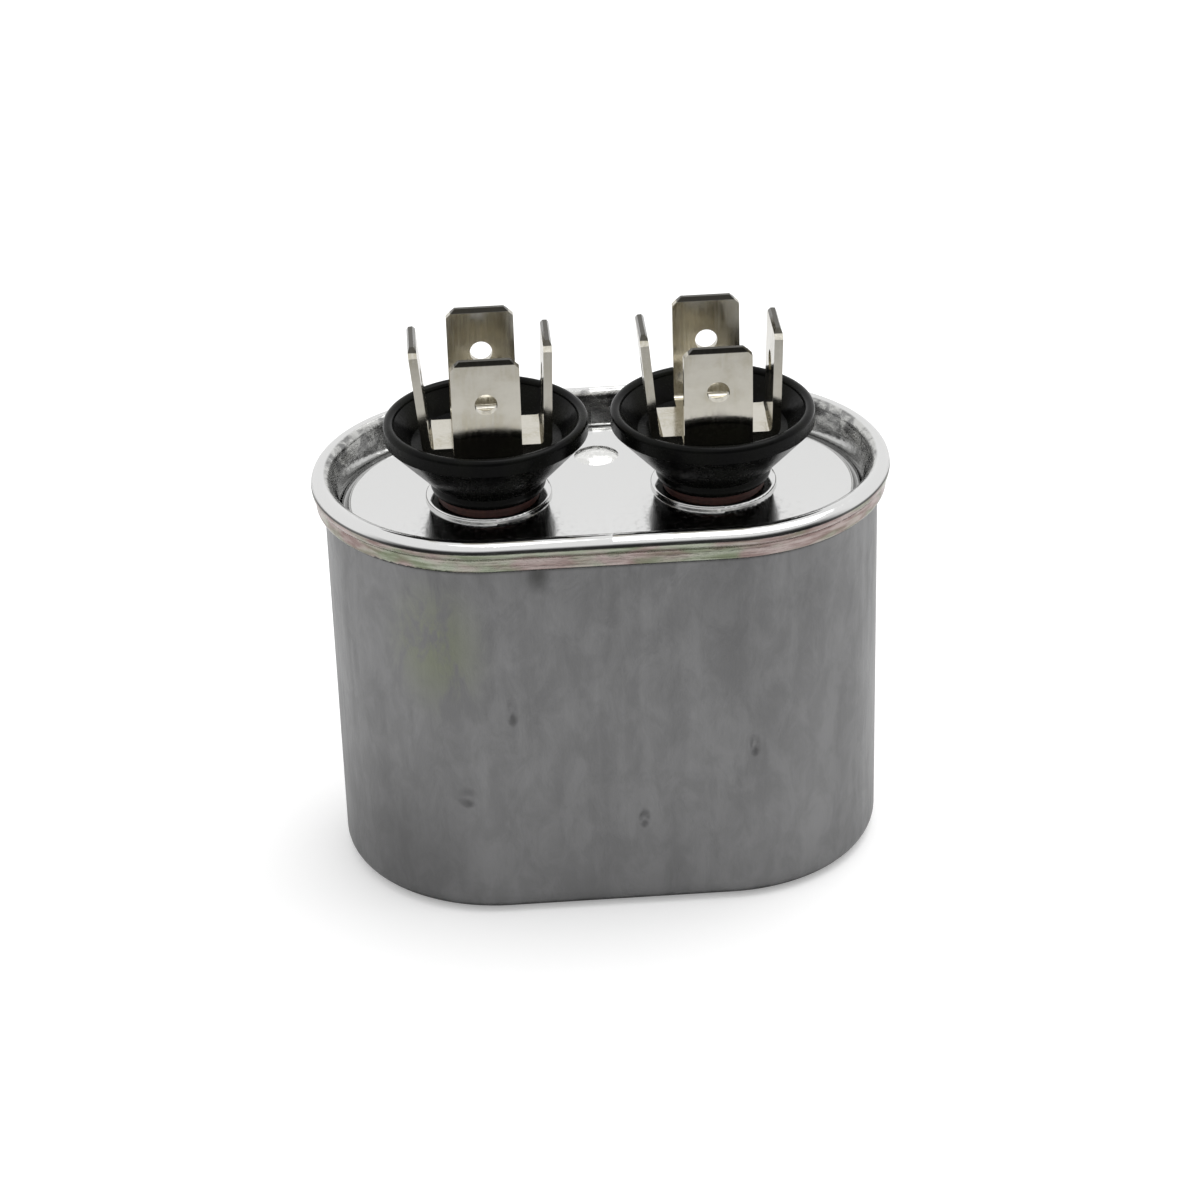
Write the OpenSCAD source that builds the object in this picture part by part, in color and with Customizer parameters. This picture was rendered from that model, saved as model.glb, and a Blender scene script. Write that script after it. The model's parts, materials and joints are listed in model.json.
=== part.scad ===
// Motor run capacitor in a drawn oval can. A tinplate lid is double-seamed on and
// carries two insulating cups, each with a riveted terminal of four blades.
// Millimetres. Origin at the centre of the base, X along the oval, +Z up.

/* [Can] */
// Width of the can's body, outside
can_w = 52.6; // [48:0.1:60]
// Depth of the can's body, outside
can_d = 31; // [28:0.1:34]
// Height from the base to the top of the seam
case_h = 40.5; // [36:0.5:80]
// Thickness of the can's wall
can_wall = 0.3; // [0.25:0.01:0.36]
// Thickness of the can's floor
floor_t = 0.5; // [0.3:0.05:0.8]
// Outer radius of the bottom edge
base_r = 1.9; // [1.2:0.1:3]

/* [Seam and lid] */
// Thickness of the lid's tinplate
lid_t = 0.22; // [0.18:0.01:0.26]
// Height of the seam
seam_h = 3.1; // [2.7:0.1:3.6]
// Outer radius of the roll along the top of the seam
roll_r = 0.98; // [0.9:0.01:1.05]
// How far the roll stands out from the can's wall
roll_out = 1.15; // [1:0.01:1.25]
// Depth of the lid's panel below the top of the seam
lid_drop = 3.1; // [2.6:0.1:4]
// How far the lid's upright wall leans in over its height
chuck_in = 0.7; // [0.3:0.05:1]
// Inner radius of the groove round the lid's panel
sink_r = 0.35; // [0.25:0.05:0.6]
// Outer radius of the edge where the panel rises from the groove
shoulder_r = 0.4; // [0.3:0.05:0.6]
// Gap between the folded sheets of the seam
seam_play = 0.015; // [0.01:0.005:0.03]

/* [Terminal seats] */
// Distance between the centres of the two terminals
terminal_pitch = 21.4; // [20.5:0.1:25]
// Radius of the raised boss under each cup
boss_r = 6; // [5.7:0.1:7]
// Height of the boss above the panel
boss_h = 0.35; // [0.25:0.05:0.5]
// Radius of the hole through each boss
seat_hole_r = 3.1; // [3.05:0.05:3.4]
// Thickness of the gasket under each cup
gasket_t = 0.3; // [0.2:0.05:0.5]
// Outer radius of the gasket
gasket_r = 4.8; // [4.4:0.1:5.4]

/* [Cups] */
// Height of a cup from its neck's foot to its brim
cup_h = 7.45; // [7:0.05:9]
// Outer radius of the brim
cup_r = 9.65; // [9:0.05:10]
// Height of the upright edge of the brim
brim_h = 1.6; // [1.2:0.1:2]
// Thickness of the brim
brim_wall = 1; // [0.8:0.05:1.2]
// Radius of the neck
neck_r = 5.5; // [5:0.1:5.9]
// Height of the straight part of the neck
neck_h = 1.3; // [1:0.1:2.6]
// Radius along the neck's lower edge
neck_edge = 0.9; // [0.2:0.05:0.95]
// Height of the cup's inner floor above the neck's foot
cup_floor_h = 5.05; // [4.4:0.05:5.6]
// Radius of the cup's inner floor
cup_floor_r = 7.1; // [7.05:0.05:7.4]
// Radius of the spigot that lines the lid's hole
spigot_r = 2.9; // [2.5:0.05:3]
// Length of the spigot below the lid
spigot_reach = 0.8; // [0.5:0.1:1.2]

/* [Terminals] */
// Width of a blade
blade_w = 6.35; // [6.2:0.05:6.4]
// Thickness of a blade
blade_t = 0.81; // [0.75:0.01:0.85]
// Height of a blade's tip above the cup's floor
blade_h = 10.95; // [9:0.05:12]
// Distance from the terminal's axis to the foot of a blade
blade_foot = 6.1; // [5.5:0.05:6.2]
// Outer radius of the bend at a blade's foot
bend_r = 1.2; // [1:0.05:1.4]
// Outward lean of the front, back and right blades, in degrees
blade_lean = 1.7; // [0:0.1:7]
// Outward lean of the left blade, in degrees
left_lean = 5; // [0:0.1:7]
// Size of the cut corners at a blade's tip
tip_chamfer = 0.85; // [0.6:0.05:1.6]
// Length of the bevel at a blade's tip
tip_bevel = 0.45; // [0.3:0.05:1.2]
// Thickness taken off each face at the tip by the bevel
bevel_t = 0.2; // [0.1:0.05:0.3]
// Radius of the hole in a blade
blade_hole_r = 1.05; // [0.8:0.05:1.2]
// Distance from the tip to the hole's centre
blade_hole_drop = 4.4; // [3.2:0.1:5]

/* [Rivets and lugs] */
// Radius of a rivet's shank
rivet_r = 1.6; // [1.3:0.05:1.8]
// Radius of a rivet's head
rivet_head_r = 2.6; // [2.3:0.1:3]
// Height of a rivet's head
rivet_head_h = 0.9; // [0.6:0.1:1.2]
// Radius of the flared tail
rivet_tail_r = 2.4; // [2.2:0.1:3]
// Height of the flared tail
rivet_tail_h = 0.7; // [0.5:0.1:1]
// Radius of the insulator under the lid
bushing_r = 5.3; // [4.5:0.1:5.4]
// Thickness of the insulator under the lid
bushing_t = 1.6; // [1.5:0.1:2.4]
// Thickness of a lug
lug_t = 0.5; // [0.4:0.05:0.8]
// Radius of a lug's ring
lug_r = 3.6; // [3.2:0.1:4.4]
// Width of a lug's arm
lug_arm_w = 3; // [2.6:0.1:4]
// Distance from the rivet's axis to the wire's hole in the arm
lug_reach = 7; // [6:0.1:8]

/* [Fill hole] */
// Distance of the fill hole behind the centre of the lid
fill_y = 6.9; // [6:0.1:8]
// Radius of the fill hole
fill_hole_r = 1.2; // [0.8:0.1:1.6]
// Radius of the solder seal over the fill hole
seal_r = 2.15; // [1.9:0.05:2.4]
// Height of the solder seal above the panel
seal_h = 0.55; // [0.3:0.05:0.9]

/* [Winding] */
// Room between the wrapped winding and the can
case_gap = 0.5; // [0.3:0.1:1]
// Thickness of the insulating wrap
wrap_t = 0.5; // [0.3:0.1:0.8]
// Thickness of the insulator on the can's floor
bottom_t = 2; // [1.9:0.1:3]
// Thickness of the insulator over the winding
top_t = 1; // [0.6:0.1:1.6]
// Thickness of the metal spray on each end of the winding
spray_t = 0.7; // [0.4:0.1:1]
// Half of the depth of the winding's flat core
core_r = 2.2; // [2:0.1:2.6]
// Thickness of the core's wall
core_wall = 0.7; // [0.5:0.1:0.9]
// Free height between the rivets' tails and the winding's top insulator
head_gap = 2; // [1:0.5:6]

/* [Leads] */
// Radius of a lead's wire
wire_r = 0.5; // [0.3:0.05:0.55]
// Outer radius of the sleeve on the long lead
sleeve_r = 1; // [0.8:0.05:1.1]
// Radius of a solder joint
joint_r = 1.3; // [1:0.05:1.35]
// Height of a solder joint
joint_h = 0.45; // [0.3:0.05:0.6]
// Length of the long lead's foot under the winding
foot_l = 6; // [5:0.5:9]

/* [Hidden] */
$fn = 96;

// Clearance round a shank, a spigot or a wire in its hole
fit = 0.05;
// Overrun of a cutting shape past the face that it cuts
cut = 1;
// Half of the oval's straight length, and the radius of its two ends
oval_half = (can_w - can_d) / 2;
end_r = can_d / 2;

// Seam: the lid's hook lies between the can's wall and the can's hook
hook_gap = lid_t + 2 * seam_play;
skirt_r = end_r + hook_gap + can_wall + seam_play + lid_t;
roll_x = end_r + roll_out - roll_r;
roll_z = case_h - roll_r;
curl_r = (skirt_r - end_r - seam_play) / 2;
curl_x = end_r + seam_play + curl_r;
curl_z = case_h - seam_h + curl_r;
tuck = acos((skirt_r - roll_x) / roll_r);

// Lid: levels and the foot of its upright wall
panel_z = case_h - lid_drop;
sink_z = panel_z - shoulder_r;
chuck_top = roll_x - roll_r;
chuck_foot = chuck_top - chuck_in;
panel_r = chuck_foot - 2 * sink_r - shoulder_r;

// Terminal stack, from the boss up and down
boss_z = panel_z + boss_h;
neck_z = boss_z + gasket_t;
cup_floor_z = neck_z + cup_floor_h;
plate_top_z = cup_floor_z + blade_t;
spigot_h = gasket_t + lid_t + spigot_reach;
bushing_top_z = boss_z - lid_t;
lug_top_z = bushing_top_z - bushing_t;
tail_top_z = lug_top_z - lug_t;
tail_z = tail_top_z - rivet_tail_h;

// Winding stack, from the floor up
spray_z = floor_t + bottom_t;
film_z = spray_z + spray_t;
pack_top_z = tail_z - head_gap - top_t;
film_top_z = pack_top_z - spray_t;
wrap_r = end_r - can_wall - case_gap;
film_r = wrap_r - wrap_t - fit;
left_x = -terminal_pitch / 2;
right_x = terminal_pitch / 2;

// Sweeps a section along the oval: x is measured from the oval's spine, y is height
module oval_sweep() {
    for (side = [0, 1]) {
        mirror([side, 0, 0]) translate([oval_half, 0, 0]) rotate([0, 0, -90])
            rotate_extrude(angle = 180) children();
        mirror([0, side, 0]) translate([-oval_half, 0, 0]) rotate([90, 0, 90])
            linear_extrude(height = 2 * oval_half) children();
    }
}

// Flat oval whose ends have radius r
module oval(r) {
    square([2 * oval_half, 2 * r], center = true);
    for (x = [-oval_half, oval_half]) translate([x, 0]) circle(r = r);
}

// Upright oval block from z to top
module oval_block(r, z, top) {
    translate([0, 0, z]) linear_extrude(height = top - z) oval(r);
}

// Ring between two radii, limited to what its children cover
module arc_band(r, t) {
    intersection() {
        difference() {
            circle(r = r);
            circle(r = r - t);
        }
        children();
    }
}

module quadrant(sx, sy, size) {
    translate([sx < 0 ? -size : 0, sy < 0 ? -size : 0]) square(size);
}

// Solid section of a cup with a rounded lower edge, from the spine out to r
module cup_form(r, edge, z, top) {
    translate([0, z]) square([r - edge, top - z]);
    translate([0, z + edge]) square([r, top - z - edge]);
    translate([r - edge, z + edge]) circle(r = edge);
}

module can() {
    hook_x = end_r + hook_gap;
    bend = hook_gap / 2 + can_wall;
    color("silver") oval_sweep() {
        difference() {
            cup_form(end_r, base_r, 0, roll_z);
            cup_form(end_r - can_wall, base_r - can_wall, floor_t, roll_z + cut);
        }
        translate([end_r + hook_gap / 2, roll_z]) arc_band(bend, can_wall)
            translate([-bend, 0]) square([2 * bend, bend]);
        translate([hook_x, curl_z]) square([can_wall, roll_z - curl_z]);
    }
}

module seam_section() {
    // Roll over the top of the can, ending where it meets the skirt
    translate([roll_x, roll_z]) {
        arc_band(roll_r, lid_t) translate([-roll_r, 0]) square([2 * roll_r, roll_r]);
        arc_band(roll_r, lid_t) polygon([[0, 0], [2 * roll_r, 0],
            [2 * roll_r * cos(tuck), -2 * roll_r * sin(tuck)]]);
    }
    // Skirt, and the hook that it turns up into
    skirt_top = roll_z - (roll_r - lid_t) * sin(tuck);
    translate([skirt_r - lid_t, curl_z]) square([lid_t, skirt_top - curl_z]);
    translate([curl_x, curl_z]) arc_band(curl_r, lid_t)
        translate([-curl_r, -curl_r]) square([2 * curl_r, curl_r]);
    translate([end_r + seam_play, curl_z]) square([lid_t, roll_z - curl_z]);
}

module lid_wall_section() {
    // Upright wall, leaning in towards its foot
    polygon([[chuck_top, roll_z], [chuck_top + lid_t, roll_z],
             [chuck_foot + lid_t, sink_z], [chuck_foot, sink_z]]);
    // Groove at the foot, and the edge where the panel rises from it
    translate([chuck_foot - sink_r, sink_z]) arc_band(sink_r + lid_t, lid_t)
        translate([-sink_r - lid_t, -sink_r - lid_t]) square([2 * (sink_r + lid_t), sink_r + lid_t]);
    translate([panel_r, sink_z]) arc_band(shoulder_r, lid_t) quadrant(1, 1, shoulder_r);
}

// Pressed boss round a terminal's hole
module boss() {
    rotate_extrude() {
        translate([seat_hole_r, boss_z - lid_t]) square([boss_r - lid_t - seat_hole_r, lid_t]);
        translate([boss_r - lid_t, boss_z - lid_t]) circle(r = lid_t);
        translate([boss_r - lid_t, panel_z - lid_t]) square([lid_t, boss_h]);
    }
}

module lid() {
    color("gainsboro") difference() {
        union() {
            oval_sweep() {
                seam_section();
                lid_wall_section();
            }
            difference() {
                oval_block(panel_r, panel_z - lid_t, panel_z);
                for (x = [left_x, right_x]) translate([x, 0, panel_z - lid_t - cut])
                    cylinder(r = boss_r - lid_t, h = lid_t + 2 * cut);
            }
            for (x = [left_x, right_x]) translate([x, 0, 0]) boss();
        }
        translate([0, fill_y, panel_z - lid_t - cut])
            cylinder(r = fill_hole_r, h = lid_t + 2 * cut);
    }
}

module seam_compound() {
    color("dimgray") oval_sweep() difference() {
        translate([roll_x, roll_z]) intersection() {
            circle(r = roll_r - lid_t - seam_play);
            translate([-roll_r, fit]) square([2 * roll_r, roll_r]);
        }
        translate([end_r + hook_gap / 2, roll_z])
            circle(r = hook_gap / 2 + can_wall + seam_play);
    }
}

module fill_seal() {
    dome_r = (seal_r * seal_r + seal_h * seal_h) / (2 * seal_h);
    color("whitesmoke") translate([0, fill_y, panel_z]) {
        intersection() {
            translate([0, 0, seal_h - dome_r]) sphere(r = dome_r);
            cylinder(r = 2 * seal_r, h = seal_h + cut);
        }
        translate([0, 0, -lid_t - fit]) cylinder(r = fill_hole_r - fit, h = lid_t + 2 * fit);
    }
}

module cup_section() {
    brim_r = brim_wall / 2;
    side_top = cup_h - brim_r;
    difference() {
        union() {
            polygon([[0, 0], [neck_r - neck_edge, 0], [neck_r, neck_edge], [neck_r, neck_h],
                     [cup_r, cup_h - brim_h], [cup_r, side_top], [0, side_top]]);
            translate([neck_r - neck_edge, neck_edge]) circle(r = neck_edge);
            translate([cup_r - brim_r, side_top]) circle(r = brim_r);
            translate([0, -spigot_h]) square([spigot_r, spigot_h + cut]);
        }
        polygon([[0, cup_floor_h], [cup_floor_r, cup_floor_h],
                 [cup_r - brim_wall, side_top], [cup_r - brim_wall, cup_h + cut], [0, cup_h + cut]]);
        translate([0, -spigot_h - cut]) square([rivet_r + fit, spigot_h + cup_h + 2 * cut]);
    }
}

module cup(x) {
    color("#101010") translate([x, 0, neck_z]) rotate_extrude() cup_section();
}

function blade_length(lean) = (blade_h - bend_r + bend_r * sin(lean)) / cos(lean);

// Side view of one leg, standing off along +X: a bend and the leaning blade above it
module leg_profile(lean) {
    length = blade_length(lean);
    translate([blade_foot - bend_r, bend_r]) {
        arc_band(bend_r, blade_t) intersection() {
            quadrant(1, -1, 2 * bend_r);
            rotate(-lean) translate([-2 * bend_r, -2 * bend_r]) square([4 * bend_r, 2 * bend_r]);
        }
        rotate(-lean) translate([bend_r - blade_t, 0])
            polygon([[0, 0], [blade_t, 0], [blade_t, length - tip_bevel], [blade_t - bevel_t, length],
                     [bevel_t, length], [0, length - tip_bevel]]);
    }
}

// Strip along X that is folded up at both ends
module folded_strip(left, right) {
    translate([0, blade_w / 2, 0]) rotate([90, 0, 0]) linear_extrude(height = blade_w) {
        translate([bend_r - blade_foot, 0]) square([2 * (blade_foot - bend_r), blade_t]);
        leg_profile(right);
        mirror([1, 0]) leg_profile(left);
    }
}

// What is cut from the blade that stands off along +X: two corners and the hole
module blade_cuts(lean) {
    corner_x = blade_w / 2 - tip_chamfer;
    translate([blade_foot - bend_r, 0, bend_r]) rotate([0, lean, 0])
        translate([bend_r - blade_t - cut, 0, blade_length(lean)])
        rotate([90, 0, 90]) linear_extrude(height = blade_t + 2 * cut) {
            for (side = [0, 1]) mirror([side, 0])
                polygon([[corner_x - cut, cut], [corner_x + tip_chamfer + cut, -tip_chamfer - cut],
                         [corner_x + tip_chamfer + cut, cut]]);
            translate([0, -blade_hole_drop]) circle(r = blade_hole_r);
        }
}

// Four blades folded up from one cross-shaped plate
module terminal(x) {
    color("lightgray") translate([x, 0, cup_floor_z]) difference() {
        union() {
            folded_strip(left_lean, blade_lean);
            rotate([0, 0, 90]) folded_strip(blade_lean, blade_lean);
        }
        for (turn = [270, 0, 90]) rotate([0, 0, turn]) blade_cuts(blade_lean);
        rotate([0, 0, 180]) blade_cuts(left_lean);
        translate([0, 0, -cut]) cylinder(r = rivet_r + fit, h = blade_t + 2 * cut);
    }
}

module rivet(x) {
    crown_r = (rivet_head_r * rivet_head_r + rivet_head_h * rivet_head_h) / (2 * rivet_head_h);
    color("darkgray") translate([x, 0, 0]) {
        translate([0, 0, plate_top_z]) intersection() {
            translate([0, 0, rivet_head_h - crown_r]) sphere(r = crown_r);
            cylinder(r = 2 * rivet_head_r, h = rivet_head_h + cut);
        }
        translate([0, 0, tail_z]) {
            cylinder(r = rivet_tail_r, h = rivet_tail_h);
            cylinder(r = rivet_r, h = plate_top_z - tail_z + rivet_head_h / 2);
        }
    }
}

module ring(r, hole_r, z, top) {
    translate([0, 0, z]) difference() {
        cylinder(r = r, h = top - z);
        translate([0, 0, -cut]) cylinder(r = hole_r, h = top - z + 2 * cut);
    }
}

module gasket(x) {
    color("#4a1f16") translate([x, 0, 0]) ring(gasket_r, spigot_r + fit, boss_z, neck_z);
}

module bushing(x) {
    color("burlywood") translate([x, 0, 0]) difference() {
        ring(bushing_r, rivet_r + fit, lug_top_z, bushing_top_z);
        translate([0, 0, bushing_top_z - spigot_reach - fit])
            cylinder(r = spigot_r + fit, h = spigot_reach + cut);
    }
}

// Lug with its arm turned by the angle given from +X
module lug(x, turn) {
    color("gold") translate([x, 0, tail_top_z]) rotate([0, 0, turn]) difference() {
        linear_extrude(height = lug_t) {
            circle(r = lug_r);
            translate([0, -lug_arm_w / 2]) square([lug_reach, lug_arm_w]);
            translate([lug_reach, 0]) circle(r = lug_arm_w / 2);
        }
        translate([0, 0, -cut]) cylinder(r = rivet_r + fit, h = lug_t + 2 * cut);
        translate([lug_reach, 0, -cut]) cylinder(r = wire_r + fit, h = lug_t + 2 * cut);
    }
}

module winding() {
    color("ivory") difference() {
        oval_block(film_r, film_z, film_top_z);
        oval_block(core_r + fit, film_z - cut, film_top_z + cut);
    }
}

module winding_core() {
    color("lightblue") difference() {
        oval_block(core_r, spray_z, pack_top_z);
        oval_block(core_r - core_wall, spray_z - cut, pack_top_z + cut);
    }
}

module winding_wrap() {
    color("khaki") difference() {
        oval_block(wrap_r, spray_z, pack_top_z);
        oval_block(wrap_r - wrap_t, spray_z - cut, pack_top_z + cut);
    }
}

module end_spray(z) {
    color("slategray") difference() {
        oval_block(film_r, z, z + spray_t);
        oval_block(core_r + fit, z - cut, z + spray_t + cut);
    }
}

module top_insulator() {
    color("tan") difference() {
        oval_block(wrap_r, pack_top_z, pack_top_z + top_t);
        translate([left_x, -lug_reach, pack_top_z - cut])
            cylinder(r = joint_r + 2 * fit, h = top_t + 2 * cut);
        translate([right_x - lug_reach, 0, pack_top_z - cut])
            cylinder(r = sleeve_r + 2 * fit, h = top_t + 2 * cut);
    }
}

// Plate on the can's floor, with a channel for the long lead's foot
module bottom_insulator() {
    channel_w = 2 * (joint_r + 4 * fit);
    channel_h = 2 * wire_r + 4 * fit;
    color("tan") difference() {
        oval_block(end_r - base_r - 2 * fit, floor_t, spray_z);
        translate([right_x - lug_reach - channel_w / 2, -foot_l - channel_w / 2, spray_z - channel_h])
            cube([channel_w, foot_l + channel_w, channel_h + cut]);
    }
}

// Solder joint on top of a lug's arm
module lug_joint() {
    translate([0, 0, lug_top_z]) cylinder(r = joint_r, h = joint_h);
}

module left_lead() {
    color("peru") translate([left_x, -lug_reach, 0]) {
        translate([0, 0, pack_top_z]) {
            cylinder(r = wire_r, h = lug_top_z + joint_h - pack_top_z);
            cylinder(r = joint_r, h = joint_h);
        }
        lug_joint();
    }
}

module right_lead() {
    elbow_r = 2 * wire_r;
    foot_z = spray_z - wire_r;
    color("peru") translate([right_x - lug_reach, 0, 0]) {
        translate([0, 0, foot_z + elbow_r])
            cylinder(r = wire_r, h = lug_top_z + joint_h - foot_z - elbow_r);
        translate([0, -elbow_r, foot_z + elbow_r]) rotate([0, 90, 0])
            rotate_extrude(angle = 90) translate([elbow_r, 0]) circle(r = wire_r);
        translate([0, -elbow_r, foot_z]) rotate([90, 0, 0])
            cylinder(r = wire_r, h = foot_l - elbow_r);
        translate([0, -foot_l, spray_z - joint_h]) cylinder(r = joint_r, h = joint_h);
        lug_joint();
    }
}

module lead_sleeve() {
    color("white") translate([right_x - lug_reach, 0, 0])
        ring(sleeve_r, wire_r + fit, spray_z + 4 * wire_r, tail_top_z - fit);
}

can();
lid();
seam_compound();
fill_seal();
cup(left_x);  // left_cup
cup(right_x);  // right_cup
terminal(left_x);  // left_terminal
terminal(right_x);  // right_terminal
rivet(left_x);  // left_rivet
rivet(right_x);  // right_rivet
gasket(left_x);  // left_gasket
gasket(right_x);  // right_gasket
bushing(left_x);  // left_bushing
bushing(right_x);  // right_bushing
lug(left_x, -90);  // left_lug
lug(right_x, 180);  // right_lug
winding();
winding_core();
winding_wrap();
end_spray(film_top_z);  // top_end_spray
end_spray(spray_z);  // bottom_end_spray
top_insulator();
bottom_insulator();
left_lead();
right_lead();
lead_sleeve();
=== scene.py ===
import json
import math

import bpy
from mathutils import Matrix, Vector


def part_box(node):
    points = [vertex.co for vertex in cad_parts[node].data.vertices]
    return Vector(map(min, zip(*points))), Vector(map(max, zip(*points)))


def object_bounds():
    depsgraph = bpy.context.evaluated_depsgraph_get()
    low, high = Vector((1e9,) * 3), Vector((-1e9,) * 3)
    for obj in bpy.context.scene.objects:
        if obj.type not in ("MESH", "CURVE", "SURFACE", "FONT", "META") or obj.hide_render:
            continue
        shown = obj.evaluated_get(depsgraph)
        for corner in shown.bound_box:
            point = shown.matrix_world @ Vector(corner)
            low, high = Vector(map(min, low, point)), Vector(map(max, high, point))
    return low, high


MM = 0.001
WHITE = (1, 1, 1, 1)

# Camera: where it looks from, in degrees and metres, and what it looks at
AZIMUTH = 3.132
ELEVATION = 28.682
ROLL = -1.781
DISTANCE = 0.3345
TARGET = Vector((-0.46, 0, 25.2)) * MM
CLIP_START = 0.01
# Its sensor's width and its lens, in millimetres
SENSOR = 36
LENS = 103.68

# Room: how bright it is, and how dim it gets low down on the camera's side
ROOM_BRIGHT = 1.0
ROOM_DARK = 0.12
# Directions between which it turns from dim to bright: from the front to the back, and upwards
ROOM_DIM_Y = -0.6
ROOM_BRIGHT_Y = 0.1
ROOM_DIM_Z = 0.3
ROOM_BRIGHT_Z = 0.7

# Floor: its width, its grey, and the light it adds for the camera alone, so that it reads as white
FLOOR_SIZE = 3.0
FLOOR_GREY = 0.8
FLOOR_LIFT = 0.3
# Where it begins to look dim to polished metal, where it is at its dimmest, and how dim that is
FLOOR_BRIGHT_Y = -0.075
FLOOR_DIM_Y = -0.15
FLOOR_DIM = 0.28

# Lamp: one broad, weak lamp overhead, in metres and watts
LAMP_PLACE = Vector((0.16, 0.06, 0.6))
LAMP_WIDTH = 0.5
LAMP_DEPTH = 0.4
LAMP_POWER = 1.6

# How sharply the lid's panel is dished round a terminal: millimetres of rise per square millimetre
DISH = 0.0075
# Height of the bosses under the cups above the lid's panel
BOSS_H = 0.35 * MM
# Length of the near-black band at the blades' tips, and of its fade into the plating
TIP_H = 0.42 * MM
TIP_FADE = 0.08 * MM

# Marks on the can's front, each as a centre and its reach along each axis, in millimetres
GREEN_PATCH = ((-16.5, -14.5, 29), (6, 9, 9))
DARK_PATCH = ((-20, -12, 6), (11, 14, 13))
DRIP = ((-6.9, -15.5, 36.6), (1.5, 2, 2.4))
DENTS = (
    ((-14.4, -15.5, 13), (1.2, 2, 1.3)),
    ((12.9, -15.5, 17.2), (0.7, 2, 1.5)),
    ((2.3, -15.5, 9.8), (0.7, 2, 1.2)),
    ((-9.8, -15.5, 22.4), (0.8, 2, 1.8)),
)

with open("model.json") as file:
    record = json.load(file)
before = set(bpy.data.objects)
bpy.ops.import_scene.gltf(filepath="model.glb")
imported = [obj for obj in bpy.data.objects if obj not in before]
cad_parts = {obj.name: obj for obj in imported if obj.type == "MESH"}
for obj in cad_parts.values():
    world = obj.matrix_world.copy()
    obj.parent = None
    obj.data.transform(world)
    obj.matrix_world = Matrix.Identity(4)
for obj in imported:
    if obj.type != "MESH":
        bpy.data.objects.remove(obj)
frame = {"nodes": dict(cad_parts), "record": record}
cad_low, cad_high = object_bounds()

# Levels and places that the materials need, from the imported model
can_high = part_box("can")[1]
rim_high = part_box("lid")[1]
cup_low, cup_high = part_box("right_cup")
spine = can_high.x - can_high.y
can_r = can_high.y
rim_r = rim_high.y
rim_z = rim_high.z
panel_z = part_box("left_gasket")[0].z - BOSS_H
tip_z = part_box("left_terminal")[1].z
terminal_x = (cup_low.x + cup_high.x) / 2


# ---------------------------------------------------------------- node helpers

class Nodes:
    """Adds nodes to a tree. An input takes a socket, which is linked, or a plain value."""

    def __init__(self, tree):
        self.tree = tree

    def add(self, kind, values=None, **settings):
        node = self.tree.nodes.new(kind)
        for key, value in settings.items():
            setattr(node, key, value)
        for key, value in (values or {}).items():
            self.put(value, node.inputs[key])
        return node

    def put(self, value, socket):
        if isinstance(value, bpy.types.NodeSocket):
            self.tree.links.new(value, socket)
        else:
            socket.default_value = value

    def band(self, value, low, high, out_low=0, out_high=1, smooth=True):
        """Value remapped from low..high to out_low..out_high, and held outside."""
        kind = "SMOOTHSTEP" if smooth else "LINEAR"
        return self.add("ShaderNodeMapRange", {
            "Value": value, "From Min": low, "From Max": high,
            "To Min": out_low, "To Max": out_high}, interpolation_type=kind).outputs["Result"]

    def math(self, operation, a, b=0.0):
        return self.add("ShaderNodeMath", {0: a, 1: b}, operation=operation).outputs[0]

    def plus(self, a, b):
        return self.math("ADD", a, b)

    def times(self, a, b):
        return self.math("MULTIPLY", a, b)

    # A Mix node has inputs of one name for each type of value, so the next two go by number

    def blend(self, fac, a, b):
        """Number between a and b."""
        return self.add("ShaderNodeMix", {0: fac, 2: a, 3: b}, data_type="FLOAT").outputs[0]

    def mix(self, fac, a, b):
        """Colour between a and b."""
        node = self.add("ShaderNodeMix", data_type="RGBA")
        self.put(fac, node.inputs[0])
        self.put(a if isinstance(a, bpy.types.NodeSocket) else (*a, 1), node.inputs[6])
        self.put(b if isinstance(b, bpy.types.NodeSocket) else (*b, 1), node.inputs[7])
        return node.outputs[2]


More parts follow.
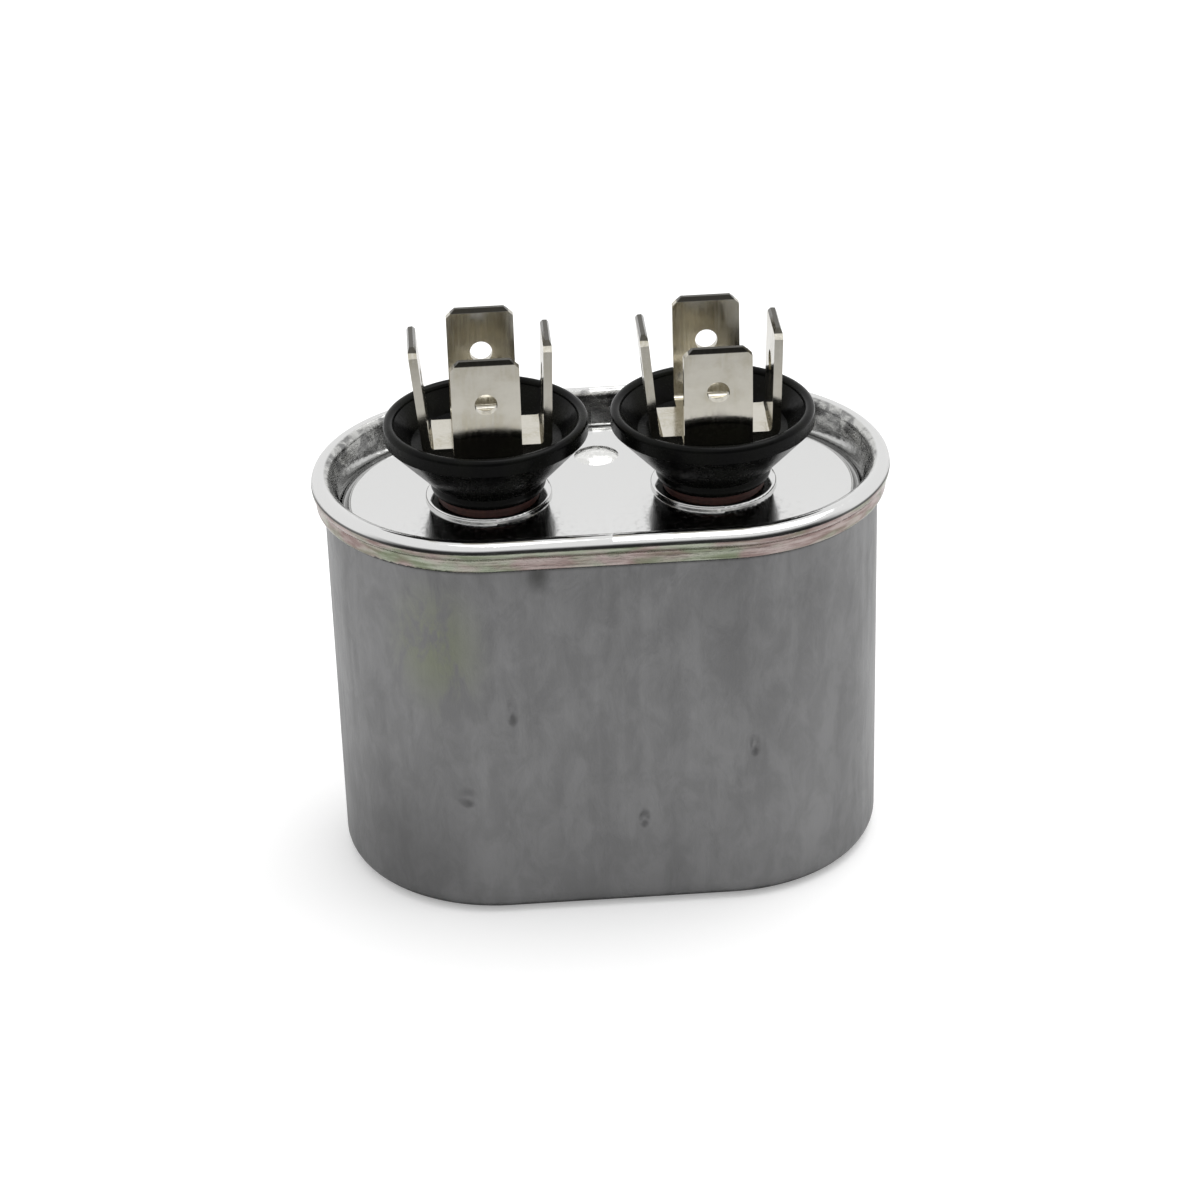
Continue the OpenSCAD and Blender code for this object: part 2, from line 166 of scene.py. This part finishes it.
class Shade(Nodes):
    """A node material whose textures are laid out in millimetres of the part's own frame."""

    def __init__(self, name, base, roughness, metallic=0.0, specular=0.5):
        self.material = bpy.data.materials.new(name)
        self.material.use_nodes = True
        super().__init__(self.material.node_tree)
        self.shader = self.tree.nodes["Principled BSDF"]
        self.shader.inputs["Base Color"].default_value = (*base, 1)
        self.shader.inputs["Roughness"].default_value = roughness
        self.shader.inputs["Metallic"].default_value = metallic
        self.shader.inputs["Specular IOR Level"].default_value = specular
        self.place = self.add("ShaderNodeTexCoord").outputs["Object"]

    def noise(self, size, stretch=(1, 1, 1), detail=3, roughness=0.5, shift=(0, 0, 0), distortion=0):
        """Noise whose blobs are about size millimetres across, drawn out by stretch along each axis."""
        mapping = self.add("ShaderNodeMapping", {
            "Vector": self.place,
            "Scale": [1 / (MM * size * s) for s in stretch],
            "Location": shift})
        return self.add("ShaderNodeTexNoise", {
            "Vector": mapping.outputs["Vector"], "Scale": 1, "Detail": detail,
            "Roughness": roughness, "Distortion": distortion}).outputs["Fac"]

    def axis(self, name):
        split = self.add("ShaderNodeSeparateXYZ", {"Vector": self.place})
        return split.outputs[name]

    def square_to(self, along):
        """Square of the distance in plan to a point on the X axis that is along away on that axis."""
        along_square = self.times(along, along)
        return self.plus(along_square, self.times(self.axis("Y"), self.axis("Y")))

    def from_spine(self):
        """Distance outwards from the oval's spine."""
        past = self.math("SUBTRACT", self.math("ABSOLUTE", self.axis("X")), spine)
        return self.math("SQRT", self.square_to(self.math("MAXIMUM", past, 0.0)))

    def dish(self):
        """Height in millimetres of a shallow dish round each terminal, nil at its axis."""
        past = self.math("SUBTRACT", self.math("ABSOLUTE", self.axis("X")), terminal_x)
        return self.times(self.square_to(past), DISH / MM / MM)

    def near(self, centre, reach):
        """One at centre, falling to nothing at reach; both in millimetres, reach along each axis."""
        mapping = self.add("ShaderNodeMapping", {
            "Vector": self.place,
            "Location": [-c / r for c, r in zip(centre, reach)],
            "Scale": [1 / (MM * r) for r in reach]})
        length = self.add("ShaderNodeVectorMath", {0: mapping.outputs["Vector"]}, operation="LENGTH")
        return self.band(length.outputs["Value"], 0, 1, 1, 0)

    def colour(self, value):
        self.put(value, self.shader.inputs["Base Color"])

    def roughness(self, value):
        self.put(value, self.shader.inputs["Roughness"])

    def glow(self, strength):
        self.put(WHITE, self.shader.inputs["Emission Color"])
        self.put(strength, self.shader.inputs["Emission Strength"])

    def bump(self, *layers):
        """Each layer is a height pattern and its depth in millimetres."""
        normal = None
        for height, depth in layers:
            node = self.add("ShaderNodeBump", {"Height": height, "Strength": 1, "Distance": depth * MM})
            if normal:
                self.put(normal, node.inputs["Normal"])
            normal = node.outputs["Normal"]
        self.put(normal, self.shader.inputs["Normal"])


def tone(colour, factor):
    return tuple(c * factor for c in colour)


# ---------------------------------------------------------------- materials

def can_material():
    """Drawn aluminium: satin, with draw marks, soft stains, a drip, painted shade at the foot and under
    the seam, and a few small dents.
    """
    base = (0.235, 0.235, 0.237)
    grey_green = (0.24, 0.26, 0.18)
    soot = (0.09, 0.09, 0.09)
    shade_and_stain_dark = (0.045, 0.045, 0.04)
    s = Shade("drawn_aluminium", base, 0.42, metallic=1)
    draw = s.noise(1.1, (1, 1, 22), detail=5, roughness=0.62)
    broad = s.noise(6, (1, 1, 5), detail=2, shift=(3, 1, 0))
    cloud = s.noise(9, detail=4, roughness=0.6, shift=(7, 2, 5))
    smear = s.noise(2.4, (1, 1, 2), detail=6, roughness=0.65, shift=(1, 9, 4), distortion=0.5)
    stained = s.mix(s.band(cloud, 0.32, 0.68), tone(base, 0.84), tone(base, 1.14))
    streaked = s.mix(s.band(draw, 0.35, 0.68), tone(base, 0.86), tone(base, 1.12))
    smeared = s.mix(s.band(smear, 0.36, 0.64), tone(base, 0.84), tone(base, 1.16))
    metal = s.mix(0.5, s.mix(0.5, stained, streaked), smeared)
    green = s.times(s.near(*GREEN_PATCH), s.band(smear, 0.4, 0.56))
    metal = s.mix(s.times(green, 0.75), metal, grey_green)
    metal = s.mix(s.times(s.near(*DARK_PATCH), 0.4), metal, soot)
    height = s.axis("Z")
    # Painted shade: darker at the foot and in a band just under the seam's skirt; the drip is a stain
    foot_shade = s.band(s.plus(height, s.times(smear, 1.2 * MM)), 1.7 * MM, 0.9 * MM)
    seam_shade = s.band(height, panel_z - 0.55 * MM, panel_z - 0.1 * MM)
    drip = s.near(*DRIP)
    shade_and_drip = s.math("MAXIMUM", s.math("MAXIMUM", foot_shade, seam_shade), s.times(drip, 0.8))
    s.colour(s.mix(s.times(shade_and_drip, 0.75), metal, shade_and_stain_dark))
    s.roughness(s.band(s.plus(draw, broad), 0.75, 1.25, 0.34, 0.5))
    dent = 0.0
    for centre, reach in DENTS:
        dent = s.plus(s.near(centre, reach), dent)
    s.bump((broad, 0.25), (smear, 0.09), (draw, 0.02), (s.times(dent, -1.0), 0.35))
    return s.material


def lid_material():
    """Bright tinplate: a slightly dished mirror on the panel, mottled walls partly darkened as painted
    shade, a tinted seam, and painted shade in the groove, at the skirt's foot and in the crease.
    """
    base = (0.72, 0.72, 0.715)
    shade_and_stain_dark = (0.03, 0.03, 0.028)
    s = Shade("bright_tinplate", base, 0.07, metallic=1)
    height = s.axis("Z")
    out = s.from_spine()

    # Where the upright wall and the seam's skirt are
    inside = s.band(out, can_r - 1.9 * MM, can_r - 1.5 * MM)
    wall = s.times(inside, s.band(out, can_r - 0.55 * MM, can_r - 0.8 * MM))
    side = s.band(out, rim_r - 0.75 * MM, rim_r - 0.35 * MM)
    skirt = s.times(side, s.band(height, rim_z - 0.7 * MM, rim_z - 1.0 * MM))

    # Their mottle, streaks and tints
    mottle = s.noise(1.6, (1, 1, 0.8), detail=4, roughness=0.6, shift=(2, 4, 1), distortion=0.6)
    # The wall is mottled, and darkened as painted shade for the hollow inside the rim
    wall_mottle_and_shade = s.mix(s.band(mottle, 0.36, 0.6), (0.1, 0.1, 0.1), (0.55, 0.55, 0.53))
    tint = s.noise(5, (1, 1, 0.5), detail=2, shift=(4, 6, 3))
    streak = s.noise(0.8, (7, 3, 0.7), detail=4, roughness=0.6, shift=(5, 2, 8))
    blush = s.mix(s.band(tint, 0.4, 0.6), (0.29, 0.35, 0.19), (0.44, 0.27, 0.25))
    worn = s.mix(s.band(streak, 0.34, 0.62), (0.13, 0.13, 0.12), (0.5, 0.5, 0.48))
    worn = s.mix(0.45, worn, blush)
    colour = s.mix(s.times(wall, 0.8), base, wall_mottle_and_shade)
    colour = s.mix(skirt, colour, worn)

    # Painted shade in the groove, at the skirt's foot and in the crease under the seam's roll
    groove = s.band(height, panel_z - 0.05 * MM, panel_z - 0.3 * MM)
    foot = s.times(side, s.band(height, panel_z + 0.35 * MM, panel_z + 0.1 * MM))
    crease_low = s.band(height, rim_z - 0.95 * MM, rim_z - 0.85 * MM)
    crease_high = s.band(height, rim_z - 0.6 * MM, rim_z - 0.75 * MM)
    crease = s.times(side, s.times(crease_low, crease_high))
    for mask, share in ((groove, 0.5), (foot, 0.8), (crease, 0.85)):
        colour = s.mix(s.times(mask, share), colour, shade_and_stain_dark)
    s.colour(colour)

    scuff = s.noise(0.5, (1, 1, 0.4), detail=4)
    walls = s.plus(wall, skirt)
    s.roughness(s.plus(s.band(scuff, 0.4, 0.75, 0.08, 0.18), s.times(walls, 0.12)))
    wave = s.noise(8, detail=1)
    s.bump((wave, 0.01), (s.dish(), 1), (s.times(s.plus(mottle, streak), walls), 0.05))
    return s.material


def solder_material():
    """Solder: bright, with a fine grain."""
    base = (0.86, 0.86, 0.84)
    s = Shade("solder", base, 0.2, metallic=1)
    grain = s.noise(0.5, detail=3)
    s.colour(s.mix(s.band(grain, 0.35, 0.7), tone(base, 0.85), base))
    s.roughness(s.band(grain, 0.3, 0.7, 0.14, 0.34))
    s.bump((grain, 0.05))
    return s.material


def phenolic_material():
    """Black moulded phenolic: glossy, with faint flow marks and a fine grain in the gloss."""
    base = (0.003, 0.003, 0.0032)
    s = Shade("black_phenolic", base, 0.2, specular=0.08)
    flow = s.noise(3, (1, 1, 2.5), detail=3)
    fine = s.noise(0.35, detail=4)
    s.colour(s.mix(s.band(flow, 0.35, 0.7), base, (0.006, 0.0065, 0.005)))
    s.roughness(s.band(s.plus(flow, fine), 0.7, 1.3, 0.14, 0.32))
    s.bump((flow, 0.03), (fine, 0.006))
    return s.material


def tinned_brass_material(name, base, roughness):
    """Tin-plated brass strip: bright, with a rolled grain, dull stains and near-black tips."""
    s = Shade(name, base, roughness, metallic=1)
    grain = s.noise(0.3, (1, 1, 10), detail=3)
    stain = s.noise(2.4, detail=4, shift=(4, 1, 2))
    yellowed = (base[0] * 0.82, base[1] * 0.8, base[2] * 0.72)
    dull = s.mix(s.band(stain, 0.4, 0.75), base, yellowed)
    plated = s.mix(s.band(grain, 0.3, 0.8), dull, tone(base, 1.06))
    # The top of each blade is coloured near black
    dark_tip = s.band(s.axis("Z"), tip_z - TIP_H - TIP_FADE, tip_z - TIP_H)
    s.colour(s.mix(s.times(dark_tip, 0.9), plated, (0.03, 0.028, 0.022)))
    s.roughness(s.band(s.plus(grain, stain), 0.7, 1.3, roughness - 0.04, roughness + 0.08))
    s.bump((stain, 0.012))
    return s.material


def speckled(name, base, other, size, roughness, metallic=0.0, stretch=(1, 1, 1), depth=0.02):
    """Two shades of one stuff, mixed by a grain of the given size."""
    s = Shade(name, base, roughness, metallic=metallic)
    grain = s.noise(size, stretch, detail=4)
    s.colour(s.mix(s.band(grain, 0.3, 0.7), base, other))
    s.roughness(s.band(grain, 0.3, 0.7, roughness - 0.08, roughness + 0.08))
    s.bump((grain, depth))
    return s.material


def dress_cad():
    """Gives every CAD node a material for what it is made of."""
    upright = (1, 1, 20)
    looks = {
        "can": can_material(),
        "lid": lid_material(),
        "fill_seal": solder_material(),
        "cup": phenolic_material(),
        "terminal": tinned_brass_material("tinned_brass", (0.6, 0.575, 0.51), 0.13),
        "rivet": tinned_brass_material("tinned_rivet", (0.72, 0.71, 0.68), 0.24),
        "gasket": speckled(
            "red_rubber", (0.07, 0.02, 0.015), (0.11, 0.04, 0.03), 0.4, 0.55),
        "seam_compound": speckled(
            "seam_compound", (0.05, 0.05, 0.05), (0.09, 0.09, 0.08), 0.3, 0.7),
        "bushing": speckled(
            "moulded_insulator", (0.55, 0.45, 0.28), (0.63, 0.54, 0.36), 0.6, 0.5),
        "lug": speckled(
            "plain_brass", (0.75, 0.6, 0.28), (0.66, 0.5, 0.22), 0.8, 0.3, metallic=1),
        "winding": speckled(
            "wound_film", (0.72, 0.72, 0.7), (0.6, 0.6, 0.58), 0.3, 0.35, stretch=upright),
        "winding_core": speckled(
            "mandrel", (0.42, 0.5, 0.58), (0.5, 0.57, 0.64), 1.5, 0.5),
        "winding_wrap": speckled(
            "wrap_film", (0.62, 0.52, 0.3), (0.7, 0.6, 0.4), 1.2, 0.4, stretch=upright),
        "end_spray": speckled(
            "sprayed_zinc", (0.35, 0.36, 0.38), (0.5, 0.5, 0.52), 0.25, 0.75, metallic=1, depth=0.06),
        "insulator": speckled(
            "pressboard", (0.45, 0.34, 0.19), (0.56, 0.45, 0.28), 0.4, 0.85),
        "lead": speckled(
            "tinned_copper", (0.7, 0.5, 0.38), (0.74, 0.66, 0.58), 0.5, 0.3, metallic=1),
        "sleeve": speckled(
            "sleeve", (0.78, 0.78, 0.75), (0.7, 0.7, 0.66), 0.6, 0.5),
    }
    for part in frame["record"]["subparts"]:
        materials = frame["nodes"][part["node"]].data.materials
        materials.clear()
        materials.append(looks[part["material_slot"]])


# ---------------------------------------------------------------- studio

def room():
    """A white room that is dim low down on the camera's side. To the camera it is all plain white."""
    world = bpy.data.worlds.new("room")
    bpy.context.scene.world = world
    world.use_nodes = True
    world.node_tree.nodes.clear()
    r = Nodes(world.node_tree)
    place = r.add("ShaderNodeTexCoord")
    split = r.add("ShaderNodeSeparateXYZ", {"Vector": place.outputs["Generated"]})
    back = r.band(split.outputs["Y"], ROOM_DIM_Y, ROOM_BRIGHT_Y)
    above = r.band(split.outputs["Z"], ROOM_DIM_Z, ROOM_BRIGHT_Z)
    level = r.band(r.math("MAXIMUM", back, above), 0, 1, ROOM_DARK, ROOM_BRIGHT, smooth=False)
    path = r.add("ShaderNodeLightPath")
    seen = r.blend(path.outputs["Is Camera Ray"], level, 1)
    background = r.add("ShaderNodeBackground", {"Color": WHITE, "Strength": seen})
    r.add("ShaderNodeOutputWorld", {"Surface": background.outputs["Background"]})


def floor_material():
    """Pale and matt. To polished metal it gets dim towards the camera."""
    s = Shade("pale_floor", WHITE[:3], 0.9, specular=0.0)
    path = s.add("ShaderNodeLightPath")
    in_gloss = s.band(s.axis("Y"), FLOOR_DIM_Y, FLOOR_BRIGHT_Y, FLOOR_DIM, 1)
    bright = s.blend(path.outputs["Is Glossy Ray"], 1, in_gloss)
    s.colour(s.times(bright, FLOOR_GREY))
    s.glow(s.times(path.outputs["Is Camera Ray"], FLOOR_LIFT))
    return s.material


def floor():
    """A floor that fades into the white of the room and keeps the shadow."""
    bpy.ops.mesh.primitive_plane_add(size=FLOOR_SIZE, location=(0, 0, cad_low.z))
    plane = bpy.context.object
    plane.name = "floor"
    plane.data.materials.append(floor_material())


def lamp():
    """One broad lamp above, behind and to the right, aimed at the part's middle."""
    light = bpy.data.lights.new("top", "AREA")
    light.shape = "RECTANGLE"
    light.size = LAMP_WIDTH
    light.size_y = LAMP_DEPTH
    light.energy = LAMP_POWER
    lamp_object = bpy.data.objects.new("top", light)
    middle = Vector((0, 0, (cad_low.z + cad_high.z) / 2))
    lamp_object.location = LAMP_PLACE
    lamp_object.rotation_euler = (middle - LAMP_PLACE).to_track_quat("-Z", "Y").to_euler()
    bpy.context.scene.collection.objects.link(lamp_object)


def camera():
    """The photo's camera."""
    azimuth, elevation, roll = (math.radians(angle) for angle in (AZIMUTH, ELEVATION, ROLL))
    ahead = Vector((math.sin(azimuth) * math.cos(elevation),
                    math.cos(azimuth) * math.cos(elevation), -math.sin(elevation)))
    level = Vector((math.cos(azimuth), -math.sin(azimuth), 0))
    upright = level.cross(ahead)
    right = math.cos(roll) * level + math.sin(roll) * upright
    up = math.cos(roll) * upright - math.sin(roll) * level
    data = bpy.data.cameras.new("camera")
    data.sensor_width = SENSOR
    data.lens = LENS
    data.clip_start = CLIP_START
    camera_object = bpy.data.objects.new("camera", data)
    turn = Matrix((right, up, -ahead)).transposed().to_4x4()
    camera_object.matrix_world = Matrix.Translation(TARGET - DISTANCE * ahead) @ turn
    bpy.context.scene.collection.objects.link(camera_object)
    bpy.context.scene.camera = camera_object


camera()
dress_cad()
room()
floor()
lamp()
bpy.context.scene.view_settings.view_transform = "Standard"
